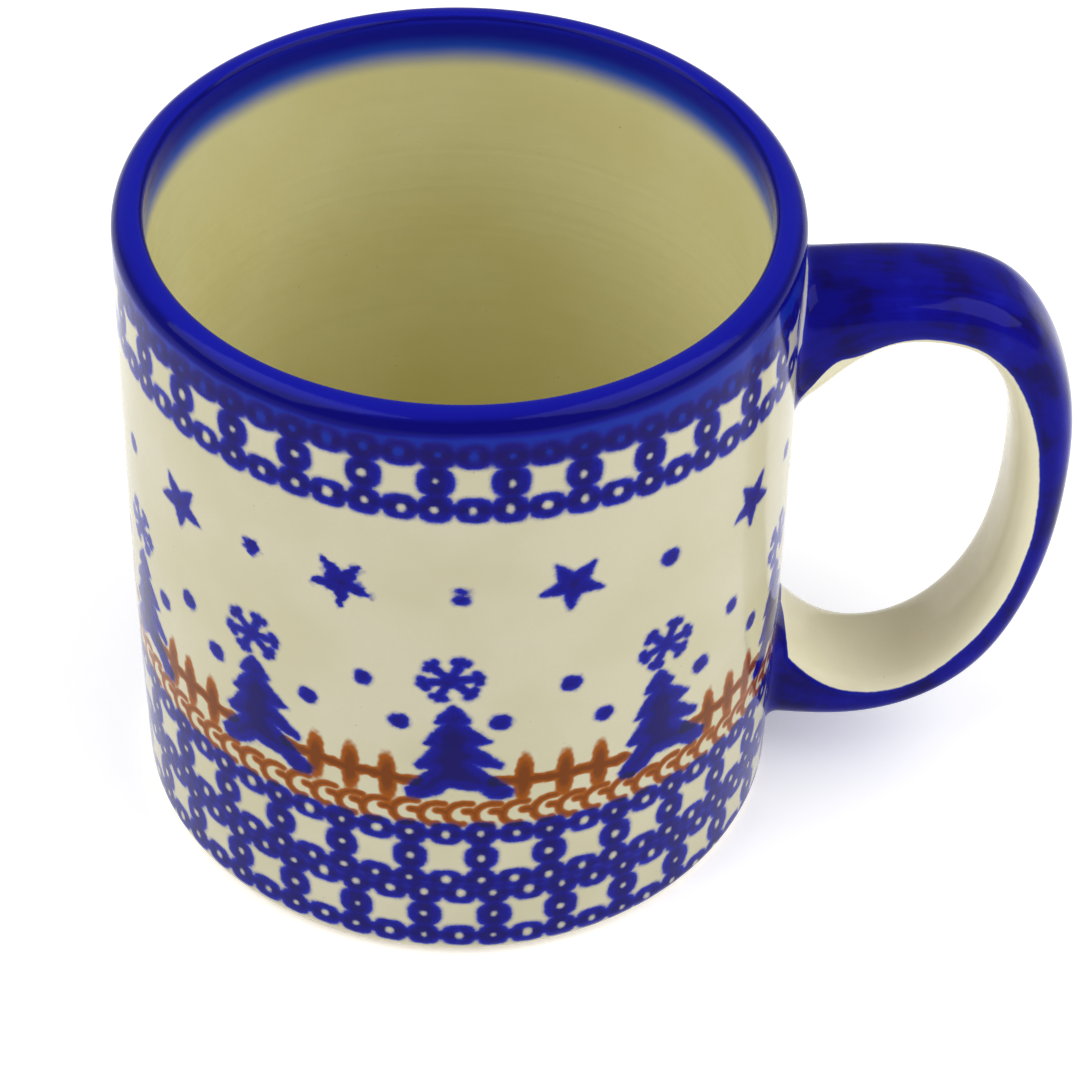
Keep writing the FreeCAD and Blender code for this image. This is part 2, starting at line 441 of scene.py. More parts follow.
def all_round(seen, fallback):
    """The marks seen in front, then even ones at the fallback height on the far side."""
    start, end = seen[-1][0], seen[0][0] + ROUND
    hidden = REPEATS - len(seen)
    step = (end - start) / (hidden + 1)
    places = [(arc, height + dip(arc)) for arc, height in seen]
    return places + [(start + step * (i + 1), fallback) for i in range(hidden)]


def dots():
    groups = [(HIGH_DOTS, FAR_HIGH_DOT), (MIDDLE_DOTS, FAR_MIDDLE_DOT),
              (LEFT_DOTS, FAR_LEFT_DOT), (RIGHT_DOTS, FAR_RIGHT_DOT)]
    return [place for seen, fallback in groups for place in all_round(seen, fallback)]


def fences(trees):
    """The three picket places between each tree and the next."""
    seen = [(arc, height + dip(arc)) for arc, height in PICKETS]
    groups = [seen[i:i + 3] for i in range(0, len(seen), 3)]
    for tree, following in zip(trees[len(groups):], trees[len(groups) + 1:] + trees[:1]):
        gap = (following[0] - tree[0]) % ROUND
        groups.append([(tree[0] + share * gap, FAR_FENCE_HEIGHT) for share in FAR_PICKET_SHARES])
    return groups


def rail_depth(group):
    """A slightly wavy rail through a fence's pickets, measured from the middle one."""
    left, right = group[0][0] - group[1][0], group[2][0] - group[1][0]
    knots = [-9.3, -7.5, left, -2.5, 0, 2.5, right, 7.5, 8.6]
    slope = (group[2][1] - group[0][1]) / (group[2][0] - group[0][0])
    line = [(knot, knot * slope + random.uniform(-0.22, 0.22)) for knot in knots]
    return stroke_depth(line, RAIL_HALF)


def rust_marks(trees):
    """The fences' rails and pickets, then the curls below them."""
    placed = []
    for group in fences(trees):
        rail = uneven(rail_depth(group), EDGE["rail"])
        placed.append(("rust", group[1], REACH["rail"], rail))
        for at in group:
            picket = leaning(oval_depth(*PICKET_HALF, DOT_POWER), random.uniform(-3, 3))
            placed.append(("rust", at, REACH["picket"], uneven(picket, EDGE["picket"])))
    for index in range(SCROLLS):
        at = (index * ROUND / SCROLLS + random.uniform(-0.25, 0.25),
              SCROLL_HEIGHT + random.uniform(-0.15, 0.15))
        curl = leaning(scroll_depth(), random.uniform(-7, 7), random.uniform(0.92, 1.0))
        placed.append(("rust", at, REACH["curl"], curl))
    return placed


def tree_marks(trees):
    """The trees with their darker middles, then the snowflakes over them."""
    placed = []
    for at in trees:
        tree = leaning(tree_depth(), random.uniform(-2, 2), random.uniform(0.98, 1.02))
        placed.append(("blue", at, REACH["tree"], uneven(tree, EDGE["tree"])))
        core = (at[0] + random.uniform(-0.4, 0.4), at[1] + CORE_RISE)
        middle = uneven(oval_depth(*CORE_HALF, 2.0), EDGE["core"])
        placed.append(("blue", core, REACH["core"], middle))
    for at in all_round(FLAKES, FAR_FLAKE):
        flake = leaning(flake_depth(), random.uniform(-8, 8), random.uniform(0.96, 1.03))
        placed.append(("blue", at, REACH["flake"], uneven(flake, EDGE["flake"])))
    return placed


def sky_marks():
    """The stars and dots, with the few that were printed badly."""
    placed = []
    for index, at in enumerate(all_round(STARS, FAR_STAR)):
        star = leaning(star_depth(), random.uniform(-4, 4), random.uniform(0.96, 1.04))
        edge = EDGE["bad_star" if index in BAD_STARS else "star"]
        placed.append(("blue", at, REACH["star"], uneven(star, edge)))
    for index, at in enumerate(dots()):
        size = DOT_RADIUS * random.uniform(0.94, 1.08)
        dot = oval_depth(size * random.uniform(0.92, 1.05), size, DOT_POWER)
        if index == SPLIT_DOT:
            dab = uneven(oval_depth(*LOWER_DAB, DOT_POWER), EDGE["lower_dab"])
            placed.append(("blue", (at[0], at[1] - LOWER_DAB_DROP), REACH["dot"], dab))
            at = (at[0] + UPPER_DAB_ASIDE, at[1] + UPPER_DAB_RISE)
            dot = oval_depth(*UPPER_DAB, DOT_POWER)
        edge = EDGE["bad_dot" if index == BAD_DOT else "dot"]
        placed.append(("blue", at, REACH["dot"], uneven(dot, edge)))
    return placed


def marks():
    """Every stamp of the border: colour, place, reach and shape, in the order of printing."""
    trees = all_round(TREES, FAR_TREE)
    placed = rust_marks(trees)
    placed += tree_marks(trees)
    placed += sky_marks()
    return placed


def beads():
    """Every bead of the chains: place, size, and its hole's place and half sizes."""
    strung = []
    for columns, start, (top, middle, bottom) in CHAINS.values():
        pitch = ROUND / columns
        spots = [(0.0, top, CORNER_BEAD, CORNER_HOLE), (0.0, middle, MIDDLE_BEAD, MIDDLE_HOLE),
                 (0.0, bottom, CORNER_BEAD, CORNER_HOLE),
                 (pitch / 2, top, BETWEEN_BEAD, BETWEEN_HOLE),
                 (pitch / 2, bottom, BETWEEN_BEAD, BETWEEN_HOLE)]
        for index in range(columns):
            for shift, height, size, opening in spots:
                at = (start + index * pitch + shift + random.uniform(-0.12, 0.12),
                      height + random.uniform(-0.1, 0.1))
                half = [side * random.uniform(0.96, 1.04) for side in size[:2]] + [size[2]]
                hole = (at[0] + random.uniform(-0.2, 0.2), at[1] + random.uniform(-0.25, 0.15))
                wide = opening * random.uniform(0.38, 0.62)
                strung.append((at, half, hole, (wide, wide * random.uniform(1.0, 1.35))))
    return strung


def bars():
    """The bars along each row of beads and up each column."""
    for columns, start, (top, middle, bottom) in CHAINS.values():
        pitch = ROUND / columns
        half = (top - bottom) / 2
        column = stroke_depth([(0, -half), (0, half)], COLUMN_BAR)
        row = stroke_depth([(-pitch / 2, 0), (pitch / 2, 0)], ROW_BAR)
        for index in range(columns):
            arc = start + index * pitch
            yield (arc, middle), half + 2, column
            yield (arc, top), pitch, row
            yield (arc, bottom), pitch, row


def painted_fields(outline, placed, strung):
    painting = Painting(outline)
    for colour, at, reach, shape in placed:
        painting.stamp(colour, at, reach, shape)
    for at, reach, shape in bars():
        painting.stamp("blue", at, reach, shape)
    for at, half, hole, opening in strung:
        painting.stamp("blue", at, REACH["bead"], oval_depth(*half))
        painting.leave_hole(hole, opening)
    painting.fields["blue"] = np.minimum(painting.fields["blue"], painting.fields.pop("hole"))
    painting.fields["printed_height"] = painting.height
    return painting.fields


# --- the outside and inside glaze --------------------------------------------------------
def past_lip(outline):
    """Distance along the outline past the lip's crest, negative on the outside."""
    steps = np.hypot(*np.diff(outline, axis=0).T)
    along = np.concatenate([[0], np.cumsum(steps)])
    return along - along[np.argmax(outline[:, 1])]


def outer_bands():
    """The outline of each band of the outside glaze, and where the last one ends inside."""
    foot_centre = (BASE_RADIUS - FOOT_ROUNDING, FOOT_ROUNDING)
    glaze_edge = math.degrees(math.asin((GLAZE_LINE - FOOT_ROUNDING) / FOOT_ROUNDING))
    lean = math.degrees((LIP_START - WALL_CENTRE[1]) / WALL_CURVE)
    inner_lip = (LIP_CREST_RADIUS - LIP_INNER_ROUNDING, HEIGHT - LIP_INNER_ROUNDING)
    inner_wall = (INNER_BASE_RADIUS, FLOOR_TOP + INNER_CORNER_RADIUS)
    share = (inner_lip[1] - RIM_COAT_END) / (inner_lip[1] - inner_wall[1])
    coat_end = (inner_lip[0] + (inner_wall[0] - inner_lip[0]) * share, RIM_COAT_END)
    foot = arc_rows(foot_centre, FOOT_ROUNDING, glaze_edge, -2, 0.3)
    fence_foot, star_foot, rim_foot = BAND_BREAKS
    return {
        "lower_band_glaze": np.concatenate([foot, wall_rows(FOOT_ROUNDING, fence_foot, 0.28)]),
        "fence_band_glaze": wall_rows(fence_foot, star_foot, 0.27),
        "star_band_glaze": wall_rows(star_foot, rim_foot, 0.4),
        "rim_glaze": np.concatenate([
            wall_rows(rim_foot, LIP_START, 0.28),
            arc_rows((LIP_CREST_RADIUS, LIP_START), LIP_OUTER_ROUNDING, lean, 90, 0.25),
            arc_rows((LIP_CREST_RADIUS, HEIGHT - LIP_INNER_ROUNDING), LIP_INNER_ROUNDING,
                     90, 180, 0.12),
            straight_rows(inner_lip, coat_end, 0.35),
        ]),
    }, coat_end


def build_outside():
    placed, strung = marks(), beads()
    outlines, coat_end = outer_bands()
    pieces = []
    for name, outline in outlines.items():
        fields = painted_fields(outline, placed, strung)
        reach = np.full(len(outline), FAR_FROM_LIP)
        if name == "rim_glaze":
            reach = past_lip(outline)
        inside = (reach > 0)[:, None]
        for field in COLOUR_FIELDS:
            fields[field] = np.where(inside, UNPAINTED, fields[field])
        fields["past_lip"] = np.repeat(reach, COLUMNS)
        pieces.append(grid_piece(name, lathe(outline, COLUMNS), fields, 4))
    return pieces, coat_end


def build_lining(coat_end):
    corner = (INNER_BASE_RADIUS - INNER_CORNER_RADIUS, FLOOR_TOP + INNER_CORNER_RADIUS)
    outline = np.concatenate([
        straight_rows(coat_end, (INNER_BASE_RADIUS, corner[1]), 0.9)[:-1],
        arc_rows(corner, INNER_CORNER_RADIUS, 0, -90, 0.6),
        straight_rows((corner[0], FLOOR_TOP), (0.02, FLOOR_TOP), 0.8),
    ])
    return grid_piece("lining_glaze", lathe(outline, COLUMNS // 3), {}, 2)


# --- the handle's glaze ------------------------------------------------------------------
def smooth_through(values, at, wanted):
    """A natural cubic curve through values given at the positions at."""
    values, at = np.asarray(values, dtype=float), np.asarray(at, dtype=float)
    step = np.diff(at)
    count = len(at)
    matrix, right = np.eye(count), np.zeros(count)
    for i in range(1, count - 1):
        matrix[i, i - 1:i + 2] = step[i - 1], 2 * (step[i - 1] + step[i]), step[i]
        right[i] = 6 * ((values[i + 1] - values[i]) / step[i]
                        - (values[i] - values[i - 1]) / step[i - 1])
    bend = np.linalg.solve(matrix, right)
    i = np.clip(np.searchsorted(at, wanted) - 1, 0, count - 2)
    a, b, h = at[i + 1] - wanted, wanted - at[i], step[i]
    return ((bend[i] * a ** 3 + bend[i + 1] * b ** 3) / (6 * h)
            + (values[i] / h - bend[i] * h / 6) * a + (values[i + 1] / h - bend[i + 1] * h / 6) * b)


def even_section(thickness, width, count):
    """Side and rise of evenly spaced points round the section, from its inner middle."""
    turn = np.linspace(-math.pi / 2, 1.5 * math.pi, 1441)
    side = np.sign(np.cos(turn)) * np.abs(np.cos(turn)) ** (2 / SECTION_POWER) * width / 2
    rise = np.sign(np.sin(turn)) * np.abs(np.sin(turn)) ** (2 / SECTION_POWER) * thickness / 2
    along = np.concatenate([[0], np.cumsum(np.hypot(np.diff(side), np.diff(rise)))])
    wanted = np.arange(count) * along[-1] / count
    return np.interp(wanted, along, side), np.interp(wanted, along, rise), wanted


def sampled(lines, position):
    """lines[step, column] read at a fractional step for each column."""
    low = np.clip(np.floor(position).astype(int), 0, len(lines) - 2)
    share = (position - low)[..., None]
    column = np.arange(lines.shape[1])
    return lines[low, column] * (1 - share) + lines[low + 1, column] * share


def sampled_number(values, position):
    """The same for one number at each step and column."""
    return sampled(values[..., None], position)[..., 0]


def crossing(gap, level, steps):
    """For each column, the fractional step where gap first reaches level, in that order."""
    place = np.empty(gap.shape[1])
    for column in range(gap.shape[1]):
        values = gap[steps, column]
        k = int(np.argmax(values >= level))
        share = (level - values[k - 1]) / (values[k] - values[k - 1])
        place[column] = steps[k - 1] + (steps[k] - steps[k - 1]) * share
    return place


def root_rows(lines, gap, steps):
    """The fillet at one root, from the wall out to the strap, and the steps where it ends."""
    start = crossing(gap, FILLET_REACH, steps)
    meets = sampled(lines, crossing(gap, 0.0, steps))
    off = sampled(lines, start)
    middle = meets[:, 2].mean()
    arc = np.arctan2(meets[:, 1], meets[:, 0]) * PATTERN_RADIUS
    away = np.stack([arc, meets[:, 2] - middle], axis=-1)
    away /= np.linalg.norm(away, axis=1)[:, None]
    turn = (arc + away[:, 0] * FILLET_SPREAD) / PATTERN_RADIUS
    height = meets[:, 2] + away[:, 1] * FILLET_SPREAD
    radius = wall_radius(height) - 0.1
    end = np.stack([radius * np.cos(turn), radius * np.sin(turn), height], axis=-1)
    t = np.linspace(0, 1, FILLET_ROWS, endpoint=False)[:, None, None]
    return (1 - t) ** 2 * end + 2 * t * (1 - t) * meets + t ** 2 * off, start


def strap_lines():
    """Lines along the strap's skin, and each point's side, height and distance round its section."""
    stations = np.array(STRAP, dtype=float)
    chord = np.concatenate([[0], np.cumsum(np.hypot(*np.diff(stations[:, :2], axis=0).T))])
    wanted = np.linspace(0, chord[-1], STRAP_STEPS)
    radius, height, lean, thickness, width = [
        smooth_through(stations[:, i], chord, wanted) for i in range(5)]
    lean = np.radians(lean)
    sections = [even_section(thick, wide, HANDLE_COLUMNS)
                for thick, wide in zip(thickness, width)]
    side, rise, around = [np.array(values) for values in zip(*sections)]
    lines = np.stack([radius[:, None] + rise * np.sin(lean)[:, None], side,
                      height[:, None] + rise * np.cos(lean)[:, None]], axis=-1)
    return lines, side, rise + thickness[:, None] / 2, around.mean(axis=0)


def over_fillets(rows):
    """The strap's rows with the first and the last repeated over the two fillets."""
    return np.concatenate([np.repeat(rows[:1], FILLET_ROWS, axis=0), rows,
                           np.repeat(rows[-1:], FILLET_ROWS, axis=0)])


def strap_paint(points, lift, out):
    """Depth inside the paint, and the distance along the strap, from its points' height and side."""
    along = np.concatenate([np.zeros((1, HANDLE_COLUMNS)),
                            np.cumsum(np.linalg.norm(np.diff(points, axis=0), axis=-1), axis=0)])
    to_lower = along[-1:] - along
    swell = BORDER_SWELL * np.exp(-((along - SWELL_AT) / SWELL_WIDTH) ** 2)
    swell += ROOT_SWELL * np.exp(-((along - ROOT_SWELL_AT) / ROOT_SWELL_WIDTH) ** 2)
    margin = UPPER_MARGIN * np.clip((points[:1, :, 2] - BARE_ABOVE) / BARE_FADE, -0.5, 1)
    paint = np.maximum(lift - PAINT_BORDER - swell, LOWER_BAND + LOWER_COLLAR * out - to_lower)
    paint = np.minimum(paint, np.minimum(along - margin, to_lower - LOWER_MARGIN))
    return paint, along


def build_handle():
    lines, side, above_inner, round_section = strap_lines()
    gap = np.hypot(lines[..., 0], lines[..., 1]) - wall_radius(lines[..., 2])
    upper, upper_start = root_rows(lines, gap, np.arange(STRAP_STEPS))
    lower, lower_start = root_rows(lines, gap, np.arange(STRAP_STEPS)[::-1])
    share = np.linspace(0, 1, STRAP_ROWS)[:, None]
    position = upper_start + (lower_start - upper_start) * share
    points = np.concatenate([upper, sampled(lines, position), lower[::-1]])

    half_width = STRAP[0][4] / 2
    lift = over_fillets(sampled_number(above_inner, position))
    out = over_fillets(np.abs(sampled_number(side, position)) / half_width)
    paint, along = strap_paint(points, lift, out)
    run = np.repeat(along.mean(axis=1)[:, None], HANDLE_COLUMNS, axis=1)
    around = np.repeat(round_section[None, :], len(points), axis=0)
    fields = {"paint": paint[:, ::-1], "along": run[:, ::-1], "around": around[:, ::-1]}
    return grid_piece("handle_glazed_strap", points[:, ::-1], fields, 1)


# --- materials ---------------------------------------------------------------------------
MIX_FIRST, MIX_SECOND, MIX_RESULT = 6, 7, 2     # a mix node's sockets for colour


class Shader:
    """A material's nodes, with short calls for the ones used here."""

    def __init__(self, name, **plain):
        self.material = bpy.data.materials.new(name)
        self.material.use_nodes = True
        self.tree = self.material.node_tree
        self.surface = self.tree.nodes["Principled BSDF"]
        for socket, value in plain.items():
            label = socket.replace("_", " ").title().replace("Ior", "IOR")
            self.surface.inputs[label].default_value = value
        coordinates = self.tree.nodes.new("ShaderNodeTexCoord").outputs["Object"]
        scale = self.tree.nodes.new("ShaderNodeVectorMath")
        scale.operation = "SCALE"
        scale.inputs["Scale"].default_value = 1 / MM
        self.tree.links.new(coordinates, scale.inputs[0])
        self.place = scale.outputs[0]      # millimetres

    def put(self, value, socket):
        if isinstance(value, bpy.types.NodeSocket):
            self.tree.links.new(value, socket)
        elif isinstance(value, tuple) and len(value) == 3 and socket.type == "RGBA":
            socket.default_value = (*value, 1.0)
        else:
            socket.default_value = value

    def attribute(self, name):
        node = self.tree.nodes.new("ShaderNodeAttribute")
        node.attribute_name = name
        return node.outputs["Fac"]

    def noise(self, per_mm, detail=2.0, place=None, roughness=0.5):
        node = self.tree.nodes.new("ShaderNodeTexNoise")
        self.put(place or self.place, node.inputs["Vector"])
        node.inputs["Scale"].default_value = per_mm
        node.inputs["Detail"].default_value = detail
        node.inputs["Roughness"].default_value = roughness
        return node.outputs["Fac"]

    def sum(self, operation, a, b=0.0, c=0.0):
        node = self.tree.nodes.new("ShaderNodeMath")
        node.operation = operation
        for value, socket in zip((a, b, c), node.inputs):
            self.put(value, socket)
        return node.outputs[0]

    def wobbled(self, value, size, per_mm, detail=2.0):
        """value moved up and down by noise, by up to about half of size."""
        shift = self.sum("MULTIPLY_ADD", self.noise(per_mm, detail), size, -size / 2)
        return self.sum("ADD", value, shift)

    def fade(self, value, low, high, to_low=0.0, to_high=1.0):
        node = self.tree.nodes.new("ShaderNodeMapRange")
        node.interpolation_type = "SMOOTHSTEP"
        for name, number in (("Value", value), ("From Min", low), ("From Max", high),
                             ("To Min", to_low), ("To Max", to_high)):
            self.put(number, node.inputs[name])
        return node.outputs[0]

    def mix(self, share, a, b, blend="MIX"):
        node = self.tree.nodes.new("ShaderNodeMix")
        node.data_type = "RGBA"
        node.blend_type = blend
        self.put(share, node.inputs["Factor"])
        self.put(a, node.inputs[MIX_FIRST])
        self.put(b, node.inputs[MIX_SECOND])
        return node.outputs[MIX_RESULT]

    def combine(self, x, y, z):
        node = self.tree.nodes.new("ShaderNodeCombineXYZ")
        for value, socket in zip((x, y, z), node.inputs):
            self.put(value, socket)
        return node.outputs[0]

    def height(self):
        node = self.tree.nodes.new("ShaderNodeSeparateXYZ")
        self.put(self.place, node.inputs[0])
        return node.outputs["Z"]

    def finish(self, colour, roughness, bump, strength, distance):
        """Links the colour, the roughness and a bump to the surface."""
        self.put(colour, self.surface.inputs["Base Color"])
        self.put(roughness, self.surface.inputs["Roughness"])
        node = self.tree.nodes.new("ShaderNodeBump")
        node.inputs["Strength"].default_value = strength
        node.inputs["Distance"].default_value = distance
        self.put(bump, node.inputs["Height"])
        self.put(node.outputs[0], self.surface.inputs["Normal"])
        return self.material


CREAM = (0.605, 0.575, 0.435)
CREAM_WARM = (0.565, 0.535, 0.375)
# Painted light: the handle's cream is the wall's glaze painted lighter, standing in for light on its
# shaded inner face.
STRAP_CREAM_PAINTED_LIGHT = (0.84, 0.805, 0.62)
STRAP_CREAM_WARM_PAINTED_LIGHT = (0.79, 0.745, 0.545)
# The cavity's cream glaze: partly its own warmer hue, partly painted light, lighter than the
# outside's cream to light the cavity.
LINING_PAINTED_LIGHT = (0.795, 0.76, 0.465)
LINING_WARM_PAINTED_LIGHT = (0.76, 0.715, 0.39)
SPECK = (0.28, 0.20, 0.10)
GLOSS = 0.14
COBALT_EDGE = (0.014, 0.026, 0.40)
COBALT = (0.007, 0.005, 0.26)
COBALT_DEEP = (0.008, 0.003, 0.122)
STRAP_BRIGHT = (0.012, 0.014, 0.38)
WASH = (0.004, 0.018, 0.31)
THIN_WASH = (0.025, 0.10, 0.58)
OVER_WASH = (0.014, 0.004, 0.125)
RIM_WASH = (0.010, 0.032, 0.33)
RIM_COBALT = (0.010, 0.014, 0.36)
RIM_NAVY = (0.002, 0.001, 0.15)
RUST = (0.345, 0.100, 0.003)
RUST_DEEP = (0.168, 0.045, 0.006)
BLUE_OVER_RUST = (0.010, 0.008, 0.03)
CLAY = (0.66, 0.58, 0.44)
CLAY_SHADE = (0.52, 0.44, 0.31)
PAPER = (0.93, 0.93, 0.93)
PAPER_SHADE = (0.91, 0.91, 0.91)
# Strength, and height in metres, of the bump on each finish.
GLAZE_BUMP = (0.3, 0.0004)
CLAY_BUMP = (0.5, 0.0003)
PAPER_BUMP = (0.02, 0.0002)
# Millimetres past the lip's crest, negative on the outside, where each change starts and ends.
RIM_COAT = (-4.9, -4.1)     # thin wash to the rim's cobalt
PAINT_INSIDE = (0.3, 0.7)   # the outside's paint to the inside's
INNER_WASH = (3.4, 6.4)     # the inside's cobalt to a thin wash
INNER_END = (5.4, 9.8)      # and that wash to the lining
POOL_DROP = 3.1             # the darker pooled line, this far outside the crest
INNER_LINE = 1.25           # and the one inside it


def speckled(shader, light, warm):
    """Cream with slow drifts of warmth, a fine grain and a few specks of iron."""
    ground = shader.mix(shader.fade(shader.noise(0.045, 3.0), 0.35, 0.68), light, warm)
    grain = shader.fade(shader.noise(2.2, 3.0), 0.3, 0.7, 0.0, 0.22)
    ground = shader.mix(grain, ground, warm)
    specks = shader.fade(shader.noise(1.3, 1.0), 0.795, 0.83, 0.0, 0.45)
    return shader.mix(specks, ground, SPECK)


def glaze_relief(shader):
    """Low waves of a melted glaze with a fine orange-peel skin."""
    slow = shader.noise(0.09, 2.0)
    fine = shader.noise(0.9, 2.0)
    return shader.sum("MULTIPLY_ADD", fine, 0.12, slow)


def lining_ground(shader):
    """The cavity's cream, its own warmer hue painted lighter than the outside's as painted light,
    and the faint rings left by throwing.
    """
    rings = shader.noise(0.55, 2.0, shader.combine(0.0, 0.0, shader.height()))
    colour = speckled(shader, LINING_PAINTED_LIGHT, LINING_WARM_PAINTED_LIGHT)
    return shader.mix(shader.fade(rings, 0.45, 0.7, 0.0, 0.35), colour, LINING_WARM_PAINTED_LIGHT), rings


def rim_coat(shader, past_lip):
    """The wash and the streaked cobalt outside the lip, and the cobalt's share."""
    rim = shader.fade(shader.wobbled(past_lip, 1.0, 0.07), *RIM_COAT)
    streaks = shader.noise(0.5, 3.0, shader.combine(
        shader.noise(0.02, 1.0), shader.noise(0.03, 1.0), shader.height()))
    colour = shader.mix(shader.fade(streaks, 0.35, 0.65), RIM_COBALT, COBALT)
    from_pool = shader.sum("ABSOLUTE", shader.sum(
        "ADD", shader.wobbled(past_lip, 0.9, 0.05), POOL_DROP))
    colour = shader.mix(shader.fade(from_pool, 0.5, 1.6, 0.85, 0.0), colour, RIM_NAVY)
    return shader.mix(rim, RIM_WASH, colour), rim


def rust_paint(shader, ground):
    """The rust marks over the ground, darker where they pooled, and their share."""
    depth = shader.wobbled(shader.attribute("rust"), 0.22, 1.1)
    mask = shader.fade(depth, -0.2, 0.22)
    pool = shader.fade(shader.wobbled(shader.attribute("rust_twice"), 0.6, 0.6),
                       -0.1, 1.4, 0.0, 0.6)
    core = shader.fade(depth, 0.15, 0.8, 0.0, 0.8)
    rust = shader.mix(shader.sum("MAXIMUM", pool, core), RUST, RUST_DEEP)
    return shader.mix(mask, ground, rust), mask


def inside_coat(shader, past_lip):
    """The cobalt inside the lip, thinning down into the lining, and the lining's rings."""
    lining, rings = lining_ground(shader)
    from_line = shader.sum("ABSOLUTE", shader.sum("SUBTRACT", past_lip, INNER_LINE))
    colour = shader.mix(shader.fade(from_line, 0.1, 0.5, 0.8, 0.0), RIM_COBALT, RIM_NAVY)
    colour = shader.mix(shader.fade(past_lip, *INNER_WASH), colour, THIN_WASH)
    return shader.mix(shader.fade(past_lip, *INNER_END), colour, lining), rings


def blue_paint(shader, depth, rust_mask, washed):
    """Sponged cobalt, darker where it pooled, over the rust and in the wash."""
    core = shader.fade(depth, 0.05, 0.75)
    sponge = shader.fade(shader.noise(0.7, 3.0), 0.4, 0.75, 0.0, 0.5)
    blue = shader.mix(core, COBALT_EDGE, COBALT)
    pool = shader.fade(shader.wobbled(shader.attribute("blue_twice"), 0.5, 0.5), -0.2, 0.9, 0, 0.8)
    deep = shader.fade(depth, 0.9, 2.4, 0.0, 0.9)
    blue = shader.mix(shader.sum("MAXIMUM", shader.sum("MAXIMUM", pool, deep), sponge),
                      blue, COBALT_DEEP)
    blue = shader.mix(shader.sum("MULTIPLY", rust_mask, 0.7), blue, BLUE_OVER_RUST)
    return shader.mix(shader.sum("MULTIPLY", washed, 0.5), blue, OVER_WASH)


def painted_glaze():
    shader = Shader("painted_glaze", specular_ior_level=GLOSS)
    ground = speckled(shader, CREAM, CREAM_WARM)
    past_lip = shader.wobbled(shader.attribute("past_lip"), 0.5, 0.12)
    inside = shader.fade(past_lip, *PAINT_INSIDE)
    blue_ground, rim = rim_coat(shader, past_lip)

    colour, rust_mask = rust_paint(shader, ground)
    printed_height = shader.wobbled(shader.attribute("printed_height"), 0.8, 0.25)
    washed = shader.fade(printed_height, *WASH_EDGE)
    colour = shader.mix(washed, colour, blue_ground)
    inner, rings = inside_coat(shader, past_lip)
    colour = shader.mix(inside, colour, inner)

    depth = shader.wobbled(shader.wobbled(shader.attribute("blue"), 0.42, 0.75), 0.16, 3.0)
    halo = shader.fade(depth, -0.6, 0.0, 0.0, 0.3)
    colour = shader.mix(halo, colour, WASH)
    mask = shader.fade(depth, -0.21, 0.25)
    blue = blue_paint(shader, depth, rust_mask, washed)
    covered = shader.sum("MULTIPLY", mask, shader.fade(rim, 0.2, 1.0, 1.0, 0.0))
    colour = shader.mix(covered, colour, blue)

    smears = shader.noise(0.3, 3.0)
    rough = shader.sum("ADD", shader.fade(smears, 0.3, 0.7, 0.07, 0.15),
                       shader.fade(past_lip, 3.0, 9.0, 0.0, 0.08))
    relief = shader.sum("MULTIPLY_ADD", shader.sum("MULTIPLY", rings, inside), 0.6,
                        glaze_relief(shader))
    return shader.finish(colour, rough, relief, *GLAZE_BUMP)


def lining_glaze():
    shader = Shader("lining_glaze", specular_ior_level=GLOSS)
    colour, rings = lining_ground(shader)
    relief = shader.sum("MULTIPLY_ADD", rings, 0.6, glaze_relief(shader))
    rough = shader.fade(shader.noise(0.3, 3.0), 0.3, 0.7, 0.15, 0.23)
    return shader.finish(colour, rough, relief, *GLAZE_BUMP)


def strap_glaze():
    shader = Shader("strap_glaze", specular_ior_level=GLOSS)
    along, around = shader.attribute("along"), shader.attribute("around")
    # the cream ground here is painted light, lighter than the wall's cream
    ground = speckled(shader, STRAP_CREAM_PAINTED_LIGHT, STRAP_CREAM_WARM_PAINTED_LIGHT)
    ground = shader.mix(shader.fade(along, 2.0, 3.4, 0.4, 0.0), ground, WASH)
    depth = shader.wobbled(shader.wobbled(shader.attribute("paint"), 0.9, 0.08), 0.16, 1.2)
    brushed = shader.combine(shader.sum("MULTIPLY", along, 0.12), around, 0.0)
    streaks = shader.noise(0.75, 4.0, brushed, 0.6)
    blotches = shader.noise(0.16, 4.0)
    tone = shader.sum("MULTIPLY_ADD", blotches, 0.9, shader.sum("MULTIPLY", streaks, 0.4))
    blue = shader.mix(shader.fade(tone, 0.46, 0.7), COBALT_DEEP, COBALT)
    blue = shader.mix(shader.fade(tone, 0.7, 0.9, 0.0, 0.7), blue, STRAP_BRIGHT)
    thin = shader.fade(depth, 0.0, 0.9, 0.6, 0.0)
    blue = shader.mix(thin, blue, COBALT_EDGE)
    colour = shader.mix(shader.fade(depth, -0.12, 0.14), ground, blue)
    rough = shader.fade(streaks, 0.3, 0.7, 0.06, 0.14)
    relief = shader.sum("MULTIPLY_ADD", streaks, 0.15, glaze_relief(shader))
    return shader.finish(colour, rough, relief, *GLAZE_BUMP)


def bare_clay():
    shader = Shader("bare_clay", specular_ior_level=GLOSS)
    grain = shader.noise(1.6, 4.0)
    colour = shader.mix(shader.fade(grain, 0.35, 0.7), CLAY, CLAY_SHADE)
    pits = shader.fade(shader.noise(2.4, 1.0), 0.72, 0.8, 0.0, 0.5)
    colour = shader.mix(pits, colour, SPECK)
    rough = shader.fade(grain, 0.3, 0.7, 0.72, 0.9)
    return shader.finish(colour, rough, grain, *CLAY_BUMP)


